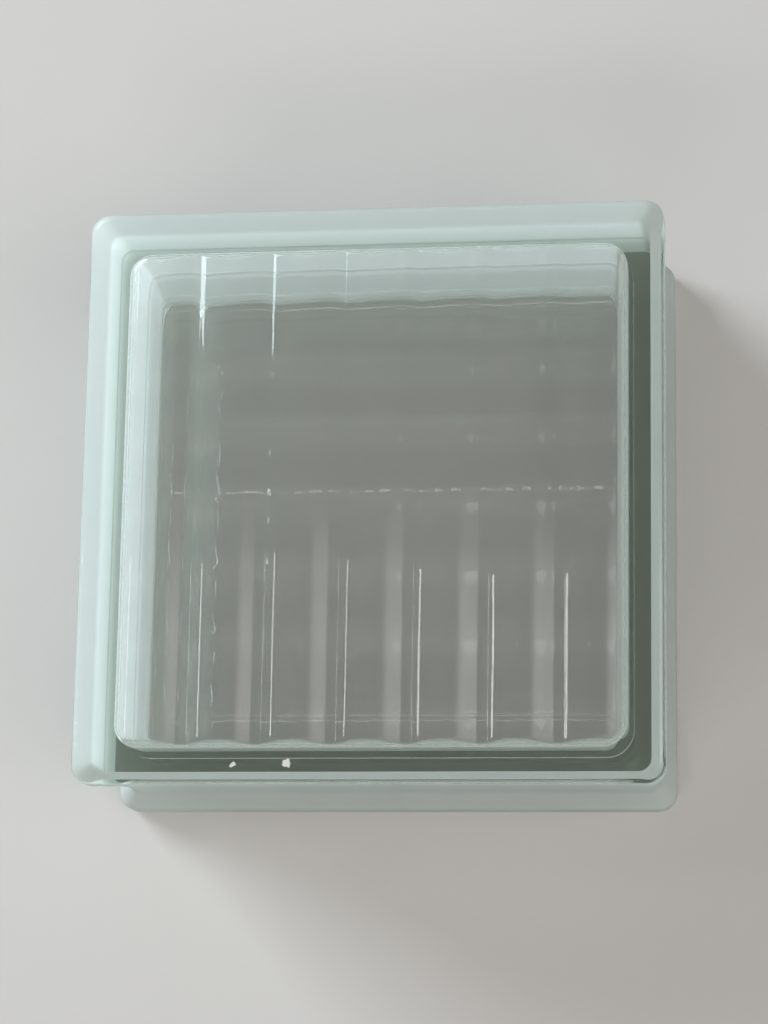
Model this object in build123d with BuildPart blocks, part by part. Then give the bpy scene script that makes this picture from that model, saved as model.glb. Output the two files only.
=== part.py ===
from math import asin, ceil, cos, radians, sin, tan
import os

from build123d import *

# Hollow glass block, laid flat: two pressed half shells fused at mid thickness around a sealed
# cavity. Millimetres, +Z up, origin at the centre of the lower face.

# Overall size
width = 190.0
thickness = 80.0
outer_corner_radius = 6.0
face_edge_radius = 2.0

# Side profile: a land behind each face, a slope, then the mortar channel with the seam in it
land_height = 9.0
land_edge_radius = 2.0
slope_height = 6.0
channel_depth = 5.0
channel_corner_radius = 4.0
channel_root_radius = 4.0
seam_bead_radius = 2.0
seam_bead_proud = 1.0

# Cavity: drafted pockets that are widest at the seam, with rounded corners and floor edges
wall_at_face = 12.2
wall_draft = 1.6
cavity_corner_radius = 8.0
cavity_floor_radius = 4.0
inner_bead_radius = 1.4
inner_bead_proud = 0.6

# Flutes on the inside of each face: wide hollow scallops between narrow rounded ridges
face_thickness = 7.6
flute_pitch = 24.2
ridge_width = 5.2
scallop_radius = 25.4
crown_clearance = 0.15

# Derived sizes
half_thickness = thickness / 2
channel_width = width - 2 * channel_depth
channel_top = half_thickness - land_height - slope_height
pocket_depth = half_thickness - face_thickness
pocket_tool_depth = pocket_depth + crown_clearance
draft_growth = pocket_tool_depth * tan(radians(wall_draft))
pocket_width_at_face = width - 2 * wall_at_face
pocket_width_at_seam = pocket_width_at_face + 2 * draft_growth
pocket_corner_at_seam = cavity_corner_radius + draft_growth

# Flute profile, in which each scallop runs tangent into the ridge beside it
scallop_half_width = (flute_pitch - ridge_width) / 2
meeting_angle = asin(scallop_half_width / scallop_radius)
scallop_rise = scallop_radius * (1 - cos(meeting_angle))
ridge_radius = ridge_width / 2 / sin(meeting_angle)
ridge_drop = scallop_rise + ridge_radius * (1 - cos(meeting_angle))
meeting_height = pocket_depth - scallop_rise
flutes_each_side = ceil((pocket_width_at_seam / flute_pitch - 1) / 2)
flute_centres = [n * flute_pitch for n in range(-flutes_each_side, flutes_each_side + 1)]
fluting_end = flute_centres[-1] + scallop_half_width

# How far from a height an edge may lie and still be picked as level there
level_tolerance = 0.01


def level_edges(body, height):
    """Edges of a body that lie level at one height."""
    return body.edges().filter_by_position(Axis.Z, height - level_tolerance, height + level_tolerance)


# Glass that stands down between the crowns of the scallops, from wall to wall
with BuildPart() as fluting:
    with BuildSketch(Plane.XZ):
        with BuildLine():
            for centre in flute_centres:
                left = centre - scallop_half_width
                right = centre + scallop_half_width
                ThreePointArc((left, meeting_height), (centre, pocket_depth), (right, meeting_height))
            for centre in flute_centres[:-1]:
                left = centre + scallop_half_width
                ridge_foot = (left + ridge_width / 2, pocket_depth - ridge_drop)
                ThreePointArc((left, meeting_height), ridge_foot, (left + ridge_width, meeting_height))
            Polyline(
                (fluting_end, meeting_height),
                (fluting_end + flute_pitch, meeting_height),
                (fluting_end + flute_pitch, half_thickness),
                (-fluting_end - flute_pitch, half_thickness),
                (-fluting_end - flute_pitch, meeting_height),
                (-fluting_end, meeting_height),
            )
        make_face()
    extrude(amount=width / 2, both=True)

# Half of the sealed cavity, from the seam plane up to the fluted inner face
with BuildPart() as pocket:
    with BuildSketch(Plane.XY):
        RectangleRounded(pocket_width_at_seam, pocket_width_at_seam, pocket_corner_at_seam)
    extrude(amount=pocket_tool_depth, taper=wall_draft)
    fillet(level_edges(pocket, pocket_tool_depth), cavity_floor_radius)
    add(fluting.part, mode=Mode.SUBTRACT)

# One pressed half, with its seam plane at the bottom and its outer face on top
with BuildPart() as half_shell:
    with BuildSketch(Plane.XY):
        RectangleRounded(channel_width, channel_width, channel_corner_radius)
    extrude(amount=channel_top)
    with BuildSketch(Plane.XY.offset(channel_top)):
        RectangleRounded(channel_width, channel_width, channel_corner_radius)
    with BuildSketch(Plane.XY.offset(channel_top + slope_height)):
        RectangleRounded(width, width, outer_corner_radius)
    loft()
    with BuildSketch(Plane.XY.offset(half_thickness)):
        RectangleRounded(width, width, outer_corner_radius)
    extrude(amount=-land_height)
    fillet(level_edges(half_shell, channel_top), channel_root_radius)
    fillet(level_edges(half_shell, channel_top + slope_height), land_edge_radius)
    fillet(level_edges(half_shell, half_thickness), face_edge_radius)
    add(pocket.part, mode=Mode.SUBTRACT)

# Beads of glass squeezed out where the halves fused, one in the channel and one in the cavity
outer_bead_width = channel_width + 2 * (seam_bead_proud - seam_bead_radius)
inner_bead_width = pocket_width_at_seam - 2 * (inner_bead_proud - inner_bead_radius)
bead_sizes = (
    (outer_bead_width, channel_corner_radius, seam_bead_radius),
    (inner_bead_width, pocket_corner_at_seam, inner_bead_radius),
)
with BuildPart() as seam_beads:
    for bead_width, bead_corner, bead_radius in bead_sizes:
        reach = bead_width / 2
        with BuildLine(Plane.XY.offset(half_thickness)) as route:
            FilletPolyline(
                (-reach, -reach),
                (reach, -reach),
                (reach, reach),
                (-reach, reach),
                radius=bead_corner,
                close=True,
            )
        with BuildSketch(Plane(origin=route.line @ 0, z_dir=route.line % 0)):
            Circle(bead_radius)
        sweep()

# The block: the lower half is turned over and a quarter round, so that its flutes cross
with BuildPart() as glass_block:
    with Locations((0, 0, half_thickness)):
        add(half_shell.part)
        add(half_shell.part, rotation=(180, 0, 90))
    add(seam_beads.part)

glass_block.part.label = "glass_block"
os.makedirs("parts", exist_ok=True)
export_step(glass_block.part, "parts/glass_block.step")
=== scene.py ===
"""Hollow glass block with crossed flutes, dressed as pressed glass with frosted sides, and its stage."""

import math
from functools import cached_property
from typing import NamedTuple

import bpy
from mathutils import Matrix, Vector, noise


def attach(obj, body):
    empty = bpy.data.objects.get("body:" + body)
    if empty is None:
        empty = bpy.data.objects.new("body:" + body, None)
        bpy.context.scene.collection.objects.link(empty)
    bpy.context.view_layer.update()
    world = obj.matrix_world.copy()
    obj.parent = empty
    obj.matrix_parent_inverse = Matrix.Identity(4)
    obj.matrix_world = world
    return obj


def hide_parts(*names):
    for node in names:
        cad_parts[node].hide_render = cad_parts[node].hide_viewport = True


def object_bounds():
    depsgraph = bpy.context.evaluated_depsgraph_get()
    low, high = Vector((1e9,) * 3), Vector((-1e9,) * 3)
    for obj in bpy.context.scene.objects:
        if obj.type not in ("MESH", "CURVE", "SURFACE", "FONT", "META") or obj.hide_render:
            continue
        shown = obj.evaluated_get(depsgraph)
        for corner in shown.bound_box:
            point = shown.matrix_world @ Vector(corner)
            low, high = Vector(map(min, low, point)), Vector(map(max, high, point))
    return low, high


bl_info = {
    "name": "Fluted Glass Block",
    "version": (1, 0, 0),
    "blender": (4, 5, 0),
    "location": "3D View > Sidebar > Glass Block",
    "description": "Builds a hollow pressed glass block with crossed flutes, and a pale studio round it",
    "category": "Add Mesh",
}

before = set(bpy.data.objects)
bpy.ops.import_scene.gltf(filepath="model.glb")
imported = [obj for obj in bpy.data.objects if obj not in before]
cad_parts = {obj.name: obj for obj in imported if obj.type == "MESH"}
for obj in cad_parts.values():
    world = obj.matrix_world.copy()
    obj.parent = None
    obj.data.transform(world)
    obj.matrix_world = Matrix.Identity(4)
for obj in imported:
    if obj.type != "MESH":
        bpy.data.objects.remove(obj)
CAD_LOW, CAD_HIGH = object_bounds()
MM = 0.001
NODE = "glass_block"

# The block's size, from the frame
HALF_WIDTH = (CAD_HIGH.x - CAD_LOW.x) / 2
HALF_HEIGHT = (CAD_HIGH.z - CAD_LOW.z) / 2
SEAM_HEIGHT = (CAD_HIGH.z + CAD_LOW.z) / 2
BLOCK_MIDDLE = (0, 0, SEAM_HEIGHT)

# How finely curves are divided
SIDE_STEPS = 40
CORNER_STEPS = 8
ROUNDING_STEPS = 6
BEAD_STEPS = 6
SCALLOP_STEPS = 10
RIDGE_STEPS = 14
CAVITY_EDGE_STEPS = 9

# Small roundings and clearances of the pressed shape
LAND_EDGE = 2 * MM
CROWN_CLEARANCE = 0.15 * MM
CROSSING_ROUND = 0.3 * MM
EDGE_CLEARANCE = 0.4 * MM
AT_WALL = 0.01 * MM

# Length over which the pressed inner faces wander from true
WANDER_LENGTH = 26 * MM

# Where the outer seam bead leaves the channel, and the ring beyond it, as shares of its radius
BEAD_FOOT, BEYOND_BEAD = 0.9, 1.17

# How far the inner seam bead stands out, how high it reaches, and how far from it the walls still stray
INNER_BEAD_PROUD = 0.6 * MM
INNER_BEAD_REACH = 1.9 * MM
INNER_STRAY_REACH = 5 * MM

# Heights above the seam at which the cavity's walls have their rings
WALL_LEVELS = tuple(level * MM for level in (26, 18, 10, 5, 3, 2.2, 1.7, 1.2, 0.8, 0.4, 0))

# Where the coat sets in and is whole: in from the sides as shares of the wall, and down from a face's edge
SIDE_SETS_IN, SIDE_WHOLE = 0.65, 0.6
EDGE_SETS_IN, EDGE_WHOLE = 0.4 * MM, 0.8 * MM
EDGE_RAGGED = 0.8 * MM

# How the coat's tone varies, how much dirt lies in patches on it, and how much painted shade darkens its
# lower half and dims the light that passes it there
DARKEST_TONE, CLOUDINESS, GRITTINESS = 0.90, 0.10, 0.05
PATCHY_DIRT, LOWER_PAINTED_SHADE, LOWER_SHADE_DIMMING = 0.5, 0.45, 0.35
CLEANER_FAR_FROM_SEAM, FAR_FROM_SEAM = 0.6, 24 * MM

# Heights above the seam between which the painted shade on the coat's lower half fades out
LOWER_SHADE_FADE = (-14 * MM, 6 * MM)

# Where old mortar still clings to the upper face, from its middle, with the radius of each speck
SPECKS = ((-42 * MM, -89 * MM, 1.0 * MM), (-24.6 * MM, -88.6 * MM, 1.4 * MM))
SPECK_EDGE = 0.15 * MM
SPECK_RAGGED = 1.6

# Floor and air, in metres. The air lights the block with only a share of the brightness that it shows
FLOOR_SIZE = 12
FLOOR_DROP = 0.3 * MM
FLOOR_FADE = (0.9, 3.6)
AIR_LIGHT = 0.18

# Where the lights stand that the flutes mirror: along Y for the upper flutes, along X for the lower
MIRRORED_Y, MIRRORED_X = 0.28, -0.3

# The glowing card, and where its glow fades along the flutes and upwards, from its middle in its own size
VEIL_PLACE = (0.92, MIRRORED_Y, 1.75)
VEIL_SIZE = (0.40, 1.3)
VEIL_FADES_ALONG, VEIL_FADES_UP = (0.0, 0.45), (0.1, 0.5)

# Colours of the light
WHITE, COOL = (1.0, 1.0, 1.0), (0.83, 0.93, 1.0)
WARM, FAINTLY_WARM, VEIL_WARM = (1.0, 0.98, 0.97), (1.0, 0.99, 0.98), (1.0, 0.97, 0.95)

# The camera
CAMERA_PLACE = Vector((141 * MM, -214 * MM, CAD_HIGH.z + 926 * MM))
CAMERA_AIM = Vector((0, 0, 45 * MM))
CAMERA_UP = Vector((-0.017, 1, 0))

# How often light may bounce, so that it finds its way through both faces and the cavity
LIGHT_BOUNCES = 14
MIRROR_BOUNCES = 8


# Settings in the sidebar


class BlockSizes(bpy.types.PropertyGroup):
    """Sizes of the pressed glass."""

    outer_corner: bpy.props.FloatProperty(
        name="Outer corner", description="Radius of the upright outer corners", default=6 * MM, unit="LENGTH"
    )
    face_edge: bpy.props.FloatProperty(
        name="Face edge", description="Rounding between a face and the sides", default=2 * MM, unit="LENGTH"
    )
    land_height: bpy.props.FloatProperty(
        name="Land height", description="Flat band of the side behind each face",
        default=9 * MM, unit="LENGTH",
    )
    slope_height: bpy.props.FloatProperty(
        name="Slope height", description="Height over which the side runs in to the channel",
        default=6 * MM, unit="LENGTH",
    )
    channel_depth: bpy.props.FloatProperty(
        name="Channel depth", description="Depth of the mortar channel round the sides",
        default=5 * MM, unit="LENGTH",
    )
    channel_corner: bpy.props.FloatProperty(
        name="Channel corner", description="Radius of the channel's upright corners",
        default=4 * MM, unit="LENGTH",
    )
    channel_root: bpy.props.FloatProperty(
        name="Channel root", description="Rounding where the slope meets the channel",
        default=4 * MM, unit="LENGTH",
    )
    wall: bpy.props.FloatProperty(
        name="Wall", description="Side wall at the inner face", default=12.2 * MM, unit="LENGTH"
    )
    draft: bpy.props.FloatProperty(
        name="Draft", description="Lean of the cavity's walls", default=math.radians(1.6), subtype="ANGLE"
    )
    face: bpy.props.FloatProperty(
        name="Face thickness", description="Glass over the crown of a flute",
        default=7.6 * MM, unit="LENGTH",
    )
    cavity_corner: bpy.props.FloatProperty(
        name="Cavity corner", description="Radius of the cavity's upright corners",
        default=8 * MM, unit="LENGTH",
    )
    cavity_edge: bpy.props.FloatProperty(
        name="Cavity edge", description="Rounding between the cavity's walls and its fluted faces",
        default=4 * MM, unit="LENGTH",
    )
    pitch: bpy.props.FloatProperty(
        name="Flute pitch", description="Distance from flute to flute", default=24.2 * MM, unit="LENGTH"
    )
    ridge: bpy.props.FloatProperty(
        name="Ridge width", description="Width of the ridge between two flutes",
        default=5.2 * MM, unit="LENGTH",
    )
    scallop: bpy.props.FloatProperty(
        name="Flute radius", description="Radius of each hollow flute", default=37 * MM, unit="LENGTH"
    )
    bead: bpy.props.FloatProperty(
        name="Seam bead", description="Radius of the glass squeezed out at the seam",
        default=2 * MM, unit="LENGTH",
    )
    waviness: bpy.props.FloatProperty(
        name="Waviness", description="How far the pressed inner faces wander from true",
        default=0.03 * MM, unit="LENGTH", precision=5,
    )


class BlockLooks(bpy.types.PropertyGroup):
    """Colours of the glass and of its frosted sides."""

    tint: bpy.props.FloatVectorProperty(
        name="Glass tint", description="Colour that the glass takes on in its thickness",
        default=(0.40, 0.50, 0.40), min=0, max=1, subtype="COLOR",
    )
    tint_depth: bpy.props.FloatProperty(
        name="Tint depth", description="How fast the tint deepens, per metre of glass", default=18.0, min=0
    )
    frost: bpy.props.FloatVectorProperty(
        name="Frost", description="Colour of the frosted coat on the sides",
        default=(0.86, 0.93, 0.92), min=0, max=1, subtype="COLOR",
    )
    glow: bpy.props.FloatProperty(
        name="Glow", description="Share of the light that passes the frosted coat",
        default=0.6, min=0, max=1, subtype="FACTOR",
    )
    # Colour of the dirt in patches on the coat, and of the painted shade on its lower half
    grime_and_shade: bpy.props.FloatVectorProperty(
        name="Grime", description="Colour of the thin dirt on the frosted coat",
        default=(0.62, 0.63, 0.56), min=0, max=1, subtype="COLOR",
    )
    mortar: bpy.props.FloatVectorProperty(
        name="Mortar", description="Colour of the specks of old mortar",
        default=(0.78, 0.77, 0.73), min=0, max=1, subtype="COLOR",
    )


class StageLooks(bpy.types.PropertyGroup):
    """Floor, air, light and lens."""

    floor: bpy.props.FloatVectorProperty(
        name="Floor", description="Colour of the floor",
        default=(0.70, 0.67, 0.64), min=0, max=1, subtype="COLOR",
    )
    horizon: bpy.props.FloatVectorProperty(
        name="Horizon", description="Colour of the air, into which the floor fades",
        default=(0.58, 0.58, 0.57), min=0, max=1, subtype="COLOR",
    )
    window: bpy.props.FloatProperty(
        name="Window light", description="Power of the large lamp on the left",
        default=56.0, min=0, unit="POWER",
    )
    veil: bpy.props.FloatProperty(
        name="Veil", description="Brightness of the card that the upper flutes mirror", default=3.4, min=0
    )
    lens: bpy.props.FloatProperty(
        name="Lens", description="Focal length of the camera", default=105.0, min=1, unit="CAMERA"
    )


# Outlines, profiles and the mesh


def rounded_square(half, corner):
    """Points round a square with round corners, each with its outward normal, anticlockwise from +X."""
    straight = half - corner
    ring = []
    for turn in range(4):
        start = turn * math.pi / 2
        along = Vector((-math.sin(start), math.cos(start)))
        out = Vector((math.cos(start), math.sin(start)))
        for step in range(SIDE_STEPS):
            share = 2 * step / SIDE_STEPS - 1
            ring.append((out * half + along * straight * share, out))
        centre = out * straight + along * straight
        for step in range(CORNER_STEPS):
            angle = start + step / CORNER_STEPS * math.pi / 2
            normal = Vector((math.cos(angle), math.sin(angle)))
            ring.append((centre + normal * corner, normal))
    return ring


def soften(points, radii):
    """A run of points with its inner corners rounded."""
    run = [points[0]]
    for before, corner, after, radius in zip(points, points[1:], points[2:], radii):
        arriving = (corner - before).normalized()
        leaving = (after - corner).normalized()
        turn = arriving.angle(leaving)
        start = corner - arriving * (radius * math.tan(turn / 2))
        inward = (leaving - arriving).normalized()
        centre = corner + inward * radius / math.cos(turn / 2)
        arm = start - centre
        spin = 1 if arriving.x * leaving.y - arriving.y * leaving.x > 0 else -1
        for step in range(ROUNDING_STEPS + 1):
            angle = spin * turn * step / ROUNDING_STEPS
            cos, sin = math.cos(angle), math.sin(angle)
            run.append(centre + Vector((arm.x * cos - arm.y * sin, arm.x * sin + arm.y * cos)))
    run.append(points[-1])
    return run


class Skin:
    """Vertices and faces of one mesh, gathered ring by ring."""

    def __init__(self):
        self.points = []
        self.faces = []

    def ring(self, points):
        """Adds points and returns their indices."""
        first = len(self.points)
        self.points.extend(points)
        return list(range(first, len(self.points)))

    def join(self, upper, lower):
        """Joins two closed rings of equal count by quads that face away from the axis."""
        for n in range(len(upper)):
            after = (n + 1) % len(upper)
            self.faces.append((upper[n], lower[n], lower[after], upper[after]))

    def mesh(self, name, material):
        """A smooth mesh of all that was gathered."""
        mesh = bpy.data.meshes.new(name)
        mesh.from_pydata(self.points, [], self.faces)
        mesh.materials.append(material)
        mesh.polygons.foreach_set("use_smooth", [True] * len(self.faces))
        mesh.validate()
        mesh.update()
        return mesh


class Seam(NamedTuple):
    """How unevenly glass was squeezed out on one side of the fused seam, by noise round the block.

    uneven is the share by which the bead's thickness varies, and patch the length of a stretch. stray is
    how far the bead may lie off true, read from the noise at another place and with calmer detail.
    """

    uneven: float
    patch: float
    stray: float
    stray_detail: float
    stray_start: tuple

    def swell(self, x, y):
        """Thickness of the bead at one place, as a share of its usual thickness."""
        return 1 + self.uneven * noise.noise(Vector((x, y, 0)) / self.patch)

    def drift(self, x, y):
        """How far the bead lies above or below true at one place."""
        place = Vector((x, y, 0)) / self.patch
        return self.stray * noise.noise(place * self.stray_detail + Vector(self.stray_start))


OUTER_SEAM = Seam(uneven=0.35, patch=18 * MM, stray=0.5 * MM, stray_detail=0.6, stray_start=(7, 3, 1))
INNER_SEAM = Seam(uneven=0.5, patch=14 * MM, stray=0.7 * MM, stray_detail=0.7, stray_start=(3, 9, 4))


# The outside of the block


def side_profile(sizes):
    """Half width, height above the seam and swell of the bead, from inside the top face to the seam."""
    land_end = HALF_HEIGHT - sizes.land_height
    channel = HALF_WIDTH - sizes.channel_depth
    points = [
        Vector((HALF_WIDTH - 2 * sizes.face_edge, HALF_HEIGHT)),
        Vector((HALF_WIDTH, HALF_HEIGHT)),
        Vector((HALF_WIDTH, land_end)),
        Vector((channel, land_end - sizes.slope_height)),
        Vector((channel, 0)),
    ]
    glass = soften(points, (sizes.face_edge, LAND_EDGE, sizes.channel_root))
    profile = [(point.x, point.y, 0.0) for point in glass[:-1]]
    profile.append((channel, sizes.bead * BEYOND_BEAD, 0.0))
    for step in range(BEAD_STEPS + 1):
        share = step / BEAD_STEPS
        profile.append((channel, sizes.bead * BEAD_FOOT * (1 - share), math.sin(share * math.pi / 2)))
    return profile


def corner_radius(sizes, half, height):
    """Radius of the upright corners at one place of the side's profile."""
    inset = HALF_WIDTH - half
    if height > HALF_HEIGHT - sizes.land_height / 2:
        return sizes.outer_corner - inset
    share = inset / sizes.channel_depth
    return sizes.outer_corner + (sizes.channel_corner - sizes.outer_corner) * share


def add_outside(skin, sizes):
    """The faces, lands, slopes, mortar channel and the uneven bead at its middle."""
    upper = side_profile(sizes)
    lower = [(half, -height, swell) for half, height, swell in reversed(upper[:-1])]
    rings = []
    for half, height, swell in upper + lower:
        ring = []
        for point, normal in rounded_square(half, corner_radius(sizes, half, abs(height))):
            push = normal * (swell * sizes.bead / 2 * OUTER_SEAM.swell(*point))
            drift = OUTER_SEAM.drift(*point) if swell else 0
            ring.append((point.x + push.x, point.y + push.y, SEAM_HEIGHT + height + drift))
        rings.append(skin.ring(ring))
    for above, below in zip(rings, rings[1:]):
        skin.join(above, below)
    skin.faces.append(rings[0])
    skin.faces.append(rings[-1][::-1])


# The sealed cavity


class Flutes:
    """Shape of a fluted inner face: hollow scallops with round ridges between them."""

    def __init__(self, sizes, depth, half):
        self.pitch, self.radius, self.depth = sizes.pitch, sizes.scallop, depth
        self.half_scallop = (sizes.pitch - sizes.ridge) / 2
        angle = math.asin(self.half_scallop / sizes.scallop)
        self.ridge_radius = sizes.ridge / 2 / math.sin(angle)
        self.drop = self.sag(self.half_scallop) + self.ridge_radius * (1 - math.cos(angle))
        self.last = math.floor(half / sizes.pitch + 0.5) * sizes.pitch
        # The rounding that carries the last scallop tangent into the wall
        self.edge = sizes.cavity_edge
        self.edge_at = half - self.edge
        reach = self.radius - self.edge
        self.edge_base = depth - self.radius + math.sqrt(reach**2 - (self.edge_at - self.last) ** 2)
        self.edge_from = self.last + (self.edge_at - self.last) * self.radius / reach

    def sag(self, off):
        """How far a scallop has come down at a distance from its crown."""
        return self.radius - math.sqrt(self.radius**2 - off**2)

    def height(self, across):
        """Height of the glass above the seam at a distance across the flutes."""
        across = abs(across)
        if across > self.edge_from:
            off = min(across - self.edge_at, self.edge)
            return self.edge_base + math.sqrt(max(self.edge**2 - off**2, 0))
        off = min(abs(across - round(across / self.pitch) * self.pitch), self.pitch / 2)
        if off <= self.half_scallop:
            return self.depth - self.sag(off)
        beside = self.pitch / 2 - off
        return self.depth - self.drop + self.ridge_radius - math.sqrt(self.ridge_radius**2 - beside**2)

    def stations(self):
        """Places across the flutes at which the mesh has its lines."""
        count = round(self.last / self.pitch)
        ridge_width = self.pitch - 2 * self.half_scallop
        marks = []
        for n in range(-count, count + 1):
            centre = n * self.pitch
            for step in range(SCALLOP_STEPS + 1):
                marks.append(centre + self.half_scallop * (2 * step / SCALLOP_STEPS - 1))
            for step in range(1, RIDGE_STEPS):
                marks.append(centre + self.half_scallop + ridge_width * step / RIDGE_STEPS)
        inner = [mark for mark in marks if abs(mark) < self.edge_at - EDGE_CLEARANCE]
        turns = [math.pi / 2 * step / CAVITY_EDGE_STEPS for step in range(CAVITY_EDGE_STEPS + 1)]
        edges = [self.edge_at + self.edge * math.sin(turn) for turn in turns]
        return sorted(inner + edges + [-edge for edge in edges])


def squared_to_round(x, y, half, corner):
    """Moves a point of a square with sharp corners into the square with round corners."""
    straight = half - corner
    u, v = (abs(x) - straight) / corner, (abs(y) - straight) / corner
    if u <= 0 or v <= 0:
        return x, y
    across = straight + corner * u * math.sqrt(1 - v * v / 2)
    along = straight + corner * v * math.sqrt(1 - u * u / 2)
    return math.copysign(across, x), math.copysign(along, y)


def wall_distance(x, y, half, corner):
    """Distance of a point from the cavity's wall."""
    straight = half - corner
    u, v = max(abs(x) - straight, 0), max(abs(y) - straight, 0)
    if u and v:
        return corner - math.hypot(u, v)
    return half - max(abs(x), abs(y))


def wall_normal(x, y, half, corner):
    """Direction square to the cavity's wall and away from the middle, at a point of the wall."""
    straight = half - corner
    u, v = max(abs(x) - straight, 0), max(abs(y) - straight, 0)
    if u and v:
        return Vector((math.copysign(u, x), math.copysign(v, y))).normalized()
    if abs(x) > abs(y):
        return Vector((math.copysign(1, x), 0))
    return Vector((0, math.copysign(1, y)))


def soft_min(a, b, width):
    """The lower of two heights, with a small round where they cross."""
    share = max(width - abs(a - b), 0) / width
    return min(a, b) - share * share * width / 4


def add_inner_face(skin, sizes, half, side):
    """One fluted inner face of the cavity. Returns the ring of its rim, anticlockwise.

    side is 1 for the upper face, with its flutes along Y, and -1 for the lower, with its flutes along X.
    """
    corner, edge = sizes.cavity_corner, sizes.cavity_edge
    depth = HALF_HEIGHT - sizes.face
    edge_centre = depth + CROWN_CLEARANCE - edge
    flutes = Flutes(sizes, depth, half)
    marks = flutes.stations()
    grid = []
    for mark_y in marks:
        row = []
        for mark_x in marks:
            x, y = squared_to_round(mark_x, mark_y, half, corner)
            off = wall_distance(x, y, half, corner)
            pocket = edge_centre + math.sqrt(max(edge**2 - (edge - min(off, edge)) ** 2, 0))
            height = soft_min(pocket, flutes.height(x if side > 0 else y), CROSSING_ROUND)
            if off > AT_WALL:
                place = Vector((x, y, side * HALF_HEIGHT)) / WANDER_LENGTH
                height += sizes.waviness * noise.noise(place) * min(off / edge, 1)
            row.append((x, y, SEAM_HEIGHT + side * height))
        grid.append(skin.ring(row))
    for near, far in zip(grid, grid[1:]):
        for i in range(len(marks) - 1):
            quad = (near[i], near[i + 1], far[i + 1], far[i])
            skin.faces.append(quad[::-1] if side > 0 else quad)
    rim = grid[0][:-1] + [row[-1] for row in grid[:-1]]
    return rim + grid[-1][:0:-1] + [row[0] for row in grid[:0:-1]]


def add_cavity(skin, sizes):
    """The sealed cavity: two fluted faces, with flutes crossed, and the drafted walls between them."""
    half = HALF_WIDTH - sizes.wall
    crown = HALF_HEIGHT - sizes.face + CROWN_CLEARANCE
    top, bottom = (add_inner_face(skin, sizes, half, side) for side in (1, -1))
    rim = [skin.points[index][:2] for index in top]
    normals = [wall_normal(x, y, half, sizes.cavity_corner) for x, y in rim]

    previous = top
    for level in WALL_LEVELS + tuple(-level for level in reversed(WALL_LEVELS[:-1])):
        grown = (crown - abs(level)) * math.tan(sizes.draft)
        bead = max(1 - (level / INNER_BEAD_REACH) ** 2, 0) * INNER_BEAD_PROUD
        near_seam = max(1 - abs(level) / INNER_STRAY_REACH, 0)
        ring = []
        for (x, y), normal in zip(rim, normals):
            move = normal * (grown - bead * INNER_SEAM.swell(x, y))
            height = SEAM_HEIGHT + level + INNER_SEAM.drift(x, y) * near_seam
            ring.append((x + move.x, y + move.y, height))
        ring = skin.ring(ring)
        skin.join(ring, previous)
        previous = ring
    skin.join(bottom, previous)


# Shader maths and nodes


class Signal:
    """A value that varies over a surface. Sums and products of it become Math nodes."""

    def __init__(self, tree, socket):
        self.tree = tree
        self.socket = socket

    def math(self, operation, first, second):
        """Adds a Math node for two terms, each a signal or a number."""
        node = self.tree.nodes.new("ShaderNodeMath")
        node.operation = operation
        for slot, term in zip(node.inputs, (first, second)):
            if isinstance(term, Signal):
                self.tree.links.new(term.socket, slot)
            else:
                slot.default_value = term
        return Signal(self.tree, node.outputs[0])

    def __add__(self, other):
        return self.math("ADD", self, other)

    __radd__ = __add__

    def __mul__(self, other):
        return self.math("MULTIPLY", self, other)

    __rmul__ = __mul__

    def __sub__(self, other):
        return self.math("SUBTRACT", self, other)

    def __rsub__(self, other):
        return self.math("SUBTRACT", other, self)

    def __abs__(self):
        return self.math("ABSOLUTE", self, 0)

    def __or__(self, other):
        """The larger of two."""
        return self.math("MAXIMUM", self, other)

    __ror__ = __or__


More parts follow.
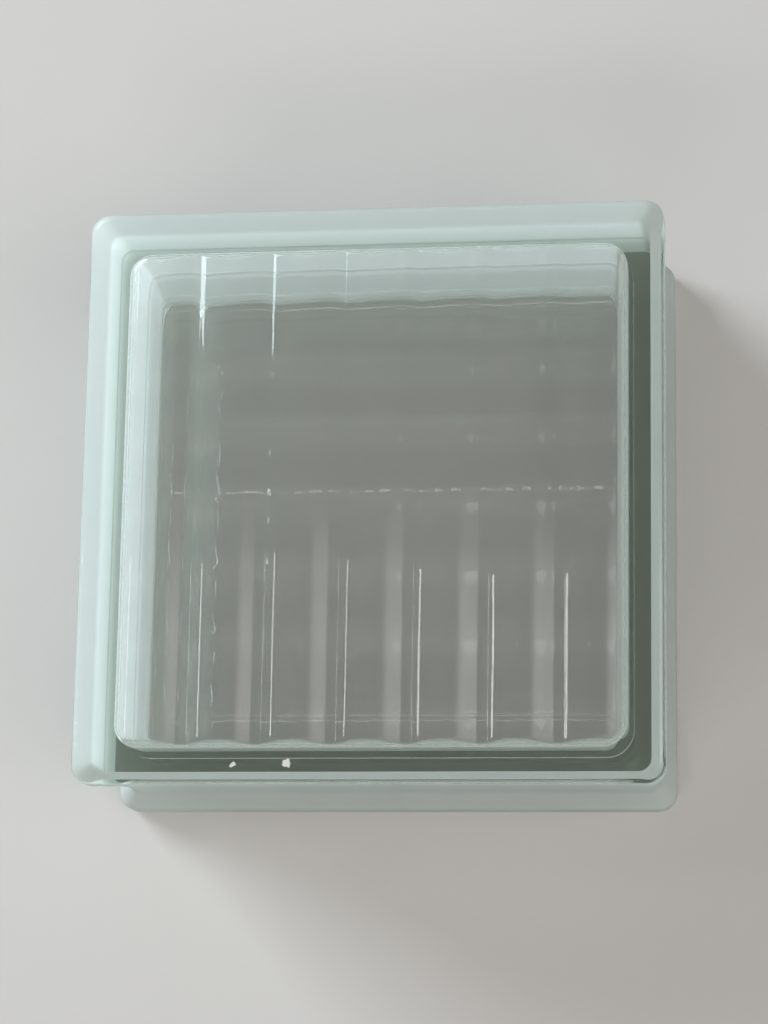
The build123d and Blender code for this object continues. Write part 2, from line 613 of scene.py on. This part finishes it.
class Finish:
    """The nodes of a material or of the world, all but the maths added by one method."""

    def __init__(self, owner):
        self.owner = owner
        owner.use_nodes = True
        self.tree = owner.node_tree
        self.tree.nodes.clear()

    @cached_property
    def place(self):
        """The object's own coordinates, added when they are first used."""
        return self.add("ShaderNodeTexCoord", output="Object")

    def add(self, kind, settings=None, inputs=None, output=0):
        """Adds a node: first its settings, then the values or links of its sockets."""
        node = self.tree.nodes.new(kind)
        for name, value in (settings or {}).items():
            setattr(node, name, value)
        for name, value in (inputs or {}).items():
            if isinstance(value, Signal):
                self.tree.links.new(value.socket, node.inputs[name])
            else:
                node.inputs[name].default_value = value
        return Signal(self.tree, node.outputs[output] if node.outputs else None)

    def noise(self, scale, detail):
        """Noise over the object's own coordinates, in features per metre."""
        inputs = {"Vector": self.place, "Scale": scale, "Detail": detail}
        return self.add("ShaderNodeTexNoise", inputs=inputs, output="Fac")

    def axes(self):
        """The object's own coordinates, one by one."""
        split = self.add("ShaderNodeSeparateXYZ", inputs={"Vector": self.place})
        return [Signal(self.tree, output) for output in split.socket.node.outputs]

    def distance(self, centre):
        """Distance from a point in the object's own coordinates."""
        return self.add(
            "ShaderNodeVectorMath", {"operation": "DISTANCE"}, {0: self.place, 1: centre}, output="Value"
        )

    def rise(self, signal, low, high):
        """0 below one value, 1 above another, smooth between them."""
        inputs = {"Value": signal, "From Min": low, "From Max": high}
        return self.add("ShaderNodeMapRange", {"interpolation_type": "SMOOTHSTEP"}, inputs)

    def bump(self, height, strength, distance):
        """Normals of a fine relief."""
        inputs = {"Height": height, "Strength": strength, "Distance": distance}
        return self.add("ShaderNodeBump", inputs=inputs)

    def blend(self, share, first, second, kind="MIX"):
        """Mixes two colours, by the colour sockets of the Mix node."""
        settings = {"data_type": "RGBA", "blend_type": kind}
        return self.add("ShaderNodeMix", settings, {0: share, 6: first, 7: second}, output=2)

    def mix(self, share, first, second):
        """Mixes two shaders."""
        return self.add("ShaderNodeMixShader", inputs={0: share, 1: first, 2: second})

    def emission(self, colour, strength=1.0):
        """A shader that only glows."""
        return self.add("ShaderNodeEmission", inputs={"Color": rgba(colour), "Strength": strength})

    def shown(self):
        """1 for what the camera sees, straight or by way of glass, and 0 for what lights the object."""
        kinds = ("Is Camera Ray", "Is Glossy Ray", "Is Transmission Ray")
        camera, glossy, transmission = (self.add("ShaderNodeLightPath", output=kind) for kind in kinds)
        return camera | glossy | transmission

    def end(self, surface, volume=None):
        """Links the shaders to the output and returns the finished material or world."""
        inputs = {"Surface": surface}
        if volume:
            inputs["Volume"] = volume
        is_world = isinstance(self.owner, bpy.types.World)
        self.add("ShaderNodeOutputWorld" if is_world else "ShaderNodeOutputMaterial", inputs=inputs)
        return self.owner


def new_finish(name):
    """The finish of a new material."""
    return Finish(bpy.data.materials.new(name))


def rgba(colour):
    """A colour with full alpha."""
    return (*colour, 1.0)


# Finishes of the block


def clear_glass(finish, wave):
    """Pressed glass, smooth but for a faint wave."""
    inputs = {
        "Base Color": rgba(WHITE),
        "Roughness": 0.0,
        "IOR": 1.52,
        "Transmission Weight": 1.0,
        "Normal": finish.bump(wave, strength=0.09, distance=0.2 * MM),
    }
    return finish.add("ShaderNodeBsdfPrincipled", inputs=inputs)


def side_coat(finish, looks, above_seam):
    """The rough pale coat on the sides, which lets light through. Patches near the seam carry dirt, and its
    lower half is darkened by painted shade and lets less light through.
    """
    cloud, grit = finish.noise(scale=60.0, detail=3.0), finish.noise(scale=2400.0, detail=1.0)
    tone = cloud * CLOUDINESS + grit * GRITTINESS + DARKEST_TONE
    clean = finish.blend(1.0, rgba(looks.frost), tone, "MULTIPLY")
    patches = finish.rise(finish.noise(scale=22.0, detail=4.0), low=0.48, high=0.72)
    near_seam = 1 - finish.rise(abs(above_seam), low=0, high=FAR_FROM_SEAM) * CLEANER_FAR_FROM_SEAM
    # lower is 1 on the coat's lower half, where shade is painted in: a darker colour and less light let
    # through
    lower = 1 - finish.rise(above_seam, *LOWER_SHADE_FADE)
    # The grime colour stands for real dirt in patches near the seam, and for painted shade on the lower half
    dirt_and_shade = patches * near_seam * PATCHY_DIRT | lower * LOWER_PAINTED_SHADE
    skin_inputs = {
        "Base Color": finish.blend(dirt_and_shade, clean, rgba(looks.grime_and_shade)),
        "Roughness": 0.6,
        "Specular IOR Level": 0.2,
        "Normal": finish.bump(grit, strength=0.35, distance=0.1 * MM),
    }
    skin = finish.add("ShaderNodeBsdfPrincipled", inputs=skin_inputs)
    glow = finish.add("ShaderNodeBsdfTranslucent", inputs={"Color": rgba(looks.frost)})
    # Painted shade: less light passes the coat's lower half
    return finish.mix(looks.glow - looks.glow * LOWER_SHADE_DIMMING * lower, skin, glow)


def mortar_specks(finish):
    """1 on the specks of old mortar, with ragged edges."""
    ragged = (finish.noise(scale=900.0, detail=0.0) - 0.5) * SPECK_RAGGED
    specks = 0
    for across, along, radius in SPECKS:
        inside = radius - finish.distance((across, along, CAD_HIGH.z)) + ragged * radius
        specks = finish.rise(inside, low=0, high=SPECK_EDGE) | specks
    return specks


def coated_glass(sizes, looks):
    """Pressed glass, clear on its faces and inside, with a rough pale coat on its sides.

    All is one material, because light that comes in through a clear face and goes out through the coat
    has to leave the same tinted glass.
    """
    finish = new_finish("coated_glass")
    wave = finish.noise(scale=45.0, detail=0.0)
    x, y, z = finish.axes()
    above_seam = z - SEAM_HEIGHT
    sets_in, whole = (HALF_WIDTH - sizes.wall * share for share in (SIDE_SETS_IN, SIDE_WHOLE))
    on_side = finish.rise(abs(x) | abs(y), sets_in, whole)
    below_face = HALF_HEIGHT - abs(above_seam) + wave * EDGE_RAGGED
    below_edge = finish.rise(below_face, sizes.face_edge + EDGE_SETS_IN, sizes.face_edge + EDGE_WHOLE)

    coat = side_coat(finish, looks, above_seam)
    surface = finish.mix(on_side * below_edge, clear_glass(finish, wave), coat)
    mortar = finish.add("ShaderNodeBsdfDiffuse", inputs={"Color": rgba(looks.mortar)})
    surface = finish.mix(mortar_specks(finish), surface, mortar)
    tint_inputs = {"Color": rgba(looks.tint), "Density": looks.tint_depth}
    return finish.end(surface, finish.add("ShaderNodeVolumeAbsorption", inputs=tint_inputs))


def show(name, mesh, body="root"):
    """Puts a mesh in the scene and rides it on a body of the frame."""
    piece = bpy.data.objects.new(name, mesh)
    bpy.context.scene.collection.objects.link(piece)
    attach(piece, body)
    return piece


# The stage


class Lamp(NamedTuple):
    """An area lamp, with its size across and up in metres, and its power in watts."""

    name: str
    place: tuple
    aim: tuple
    size: tuple
    power: float
    colour: tuple
    mirrored: bool = False


def lamps(looks):
    """Large soft lamps that light the block, and two narrow ones that show as thin lines in its flutes."""
    straight_across, straight_along = (0, MIRRORED_Y, SEAM_HEIGHT), (MIRRORED_X, 0, SEAM_HEIGHT)
    gleam_place, far_gleam_place = (-1.48, MIRRORED_Y, 1.42), (MIRRORED_X, 1.3, 1.55)
    return (
        Lamp("window", (-1.66, 1.12, 0.65), BLOCK_MIDDLE, (1.0, 1.1), looks.window, COOL),
        Lamp("panel", (1.8, -0.5, 1.4), BLOCK_MIDDLE, (1.6, 1.6), 6.0, WARM),
        Lamp("ceiling", (1.0, -0.65, 2.1), BLOCK_MIDDLE, (1.5, 1.7), 17.0, WARM),
        Lamp("strip", (-0.45, -1.5, 1.6), BLOCK_MIDDLE, (1.5, 0.42), 9.0, FAINTLY_WARM),
        Lamp("gleam", gleam_place, straight_across, (0.2, 0.08), 1.8, WHITE, mirrored=True),
        Lamp("far_gleam", far_gleam_place, straight_along, (0.4, 0.06), 0.32, WHITE, mirrored=True),
    )


def facing(place, aim):
    """Rotation of a lamp or a card at one point that faces another, with its own Y upwards."""
    return (Vector(aim) - Vector(place)).to_track_quat("-Z", "Y").to_euler()


def add_floor(looks):
    """A matt floor that fades into the air far off, where the camera or the glass sees it."""
    bpy.ops.mesh.primitive_plane_add(size=FLOOR_SIZE, location=(0, 0, -FLOOR_DROP))
    floor = bpy.context.object
    floor.name = "floor"
    finish = new_finish("floor_paint")
    inputs = {"Base Color": rgba(looks.floor), "Roughness": 0.9, "Specular IOR Level": 0.2}
    paint = finish.add("ShaderNodeBsdfPrincipled", inputs=inputs)
    far_off = finish.rise(finish.distance((0, 0, 0)), *FLOOR_FADE) * finish.shown()
    floor.data.materials.append(finish.end(finish.mix(far_off, paint, finish.emission(looks.horizon))))


def add_air(looks):
    """Pale air all round, which lights the block only a little."""
    air = Finish(bpy.data.worlds.new("studio"))
    strength = air.shown() * (1 - AIR_LIGHT) + AIR_LIGHT
    inputs = {"Color": rgba(looks.horizon), "Strength": strength}
    bpy.context.scene.world = air.end(air.add("ShaderNodeBackground", inputs=inputs))


def add_lamp(lamp):
    """Hangs one lamp. A lamp that isn't mirrored leaves no white shape on the flat faces."""
    light = bpy.data.lights.new(lamp.name, "AREA")
    light.shape = "RECTANGLE"
    light.size, light.size_y = lamp.size
    light.energy = lamp.power
    light.color = lamp.colour
    holder = bpy.data.objects.new(lamp.name, light)
    holder.location = lamp.place
    holder.rotation_euler = facing(lamp.place, lamp.aim)
    holder.visible_glossy = lamp.mirrored
    bpy.context.scene.collection.objects.link(holder)


def add_veil_card(looks):
    """A glowing card that only the glass sees, as a pale veil in the upper flutes.

    Its own X runs along those flutes and its Y runs up. It fades into the air both ways.
    """
    bpy.ops.mesh.primitive_plane_add(size=1, location=VEIL_PLACE)
    card = bpy.context.object
    card.name = "veil_card"
    card.scale = (*VEIL_SIZE, 1)
    card.rotation_euler = facing(VEIL_PLACE, (0, MIRRORED_Y, SEAM_HEIGHT))
    finish = new_finish("veil_glow")
    along, upward, _ = finish.axes()
    bright = (1 - finish.rise(along, *VEIL_FADES_ALONG)) * (1 - finish.rise(upward, *VEIL_FADES_UP))
    veil = finish.emission(VEIL_WARM, looks.veil)
    glow = finish.end(finish.mix(bright, finish.emission(looks.horizon), veil))
    glow.cycles.emission_sampling = "NONE"
    card.data.materials.append(glow)
    card.visible_camera = card.visible_diffuse = card.visible_shadow = False


def add_camera(looks):
    """The camera, high over the block's near side and a little to the right."""
    camera = bpy.data.cameras.new("camera")
    camera.lens = looks.lens
    holder = bpy.data.objects.new("camera", camera)
    holder.location = CAMERA_PLACE
    ahead = (CAMERA_AIM - CAMERA_PLACE).normalized()
    right = ahead.cross(CAMERA_UP).normalized()
    holder.rotation_euler = Matrix((right, right.cross(ahead), -ahead)).transposed().to_euler()
    bpy.context.scene.collection.objects.link(holder)
    bpy.context.scene.camera = holder


# Operators


class GLASSBLOCK_OT_block(bpy.types.Operator):
    """Builds the block's glass: outside, sealed cavity, flutes and seam."""

    bl_idname = "glassblock.block"
    bl_label = "Glass Block"

    def execute(self, context):
        sizes, looks = context.scene.block_sizes, context.scene.block_looks
        skin = Skin()
        add_outside(skin, sizes)
        add_cavity(skin, sizes)
        block = show("pressed_glass", skin.mesh("pressed_glass", coated_glass(sizes, looks)))
        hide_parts(NODE)
        return {"FINISHED"}


class GLASSBLOCK_OT_stage(bpy.types.Operator):
    """Sets the floor, the air, the light and the camera."""

    bl_idname = "glassblock.stage"
    bl_label = "Stage"

    def execute(self, context):
        scene, looks = context.scene, context.scene.stage_looks
        add_floor(looks)
        add_air(looks)
        for lamp in lamps(looks):
            add_lamp(lamp)
        add_veil_card(looks)
        add_camera(looks)
        scene.view_settings.view_transform = "Standard"
        scene.cycles.max_bounces = LIGHT_BOUNCES
        scene.cycles.transmission_bounces = LIGHT_BOUNCES
        scene.cycles.glossy_bounces = MIRROR_BOUNCES
        return {"FINISHED"}


class GLASSBLOCK_PT_panel(bpy.types.Panel):
    """Lists the sizes, the looks and the operators."""

    bl_idname = "GLASSBLOCK_PT_panel"
    bl_label = "Glass Block"
    bl_space_type = "VIEW_3D"
    bl_region_type = "UI"
    bl_category = "Glass Block"

    def draw(self, context):
        for group in (context.scene.block_sizes, context.scene.block_looks, context.scene.stage_looks):
            box = self.layout.box()
            for name in group.__annotations__:
                box.prop(group, name)
        for operator in OPERATORS:
            self.layout.operator(operator.bl_idname)


OPERATORS = (GLASSBLOCK_OT_block, GLASSBLOCK_OT_stage)
CLASSES = (BlockSizes, BlockLooks, StageLooks, *OPERATORS, GLASSBLOCK_PT_panel)


def register():
    """Registers the classes and hangs the settings on the scene."""
    for cls in CLASSES:
        bpy.utils.register_class(cls)
    bpy.types.Scene.block_sizes = bpy.props.PointerProperty(type=BlockSizes)
    bpy.types.Scene.block_looks = bpy.props.PointerProperty(type=BlockLooks)
    bpy.types.Scene.stage_looks = bpy.props.PointerProperty(type=StageLooks)


def unregister():
    """Takes the settings and the classes away again."""
    del bpy.types.Scene.stage_looks
    del bpy.types.Scene.block_looks
    del bpy.types.Scene.block_sizes
    for cls in reversed(CLASSES):
        bpy.utils.unregister_class(cls)


def main():
    """Registers the settings, and builds the block and its stage."""
    register()
    bpy.ops.glassblock.block()
    bpy.ops.glassblock.stage()


if __name__ == "__main__":
    main()
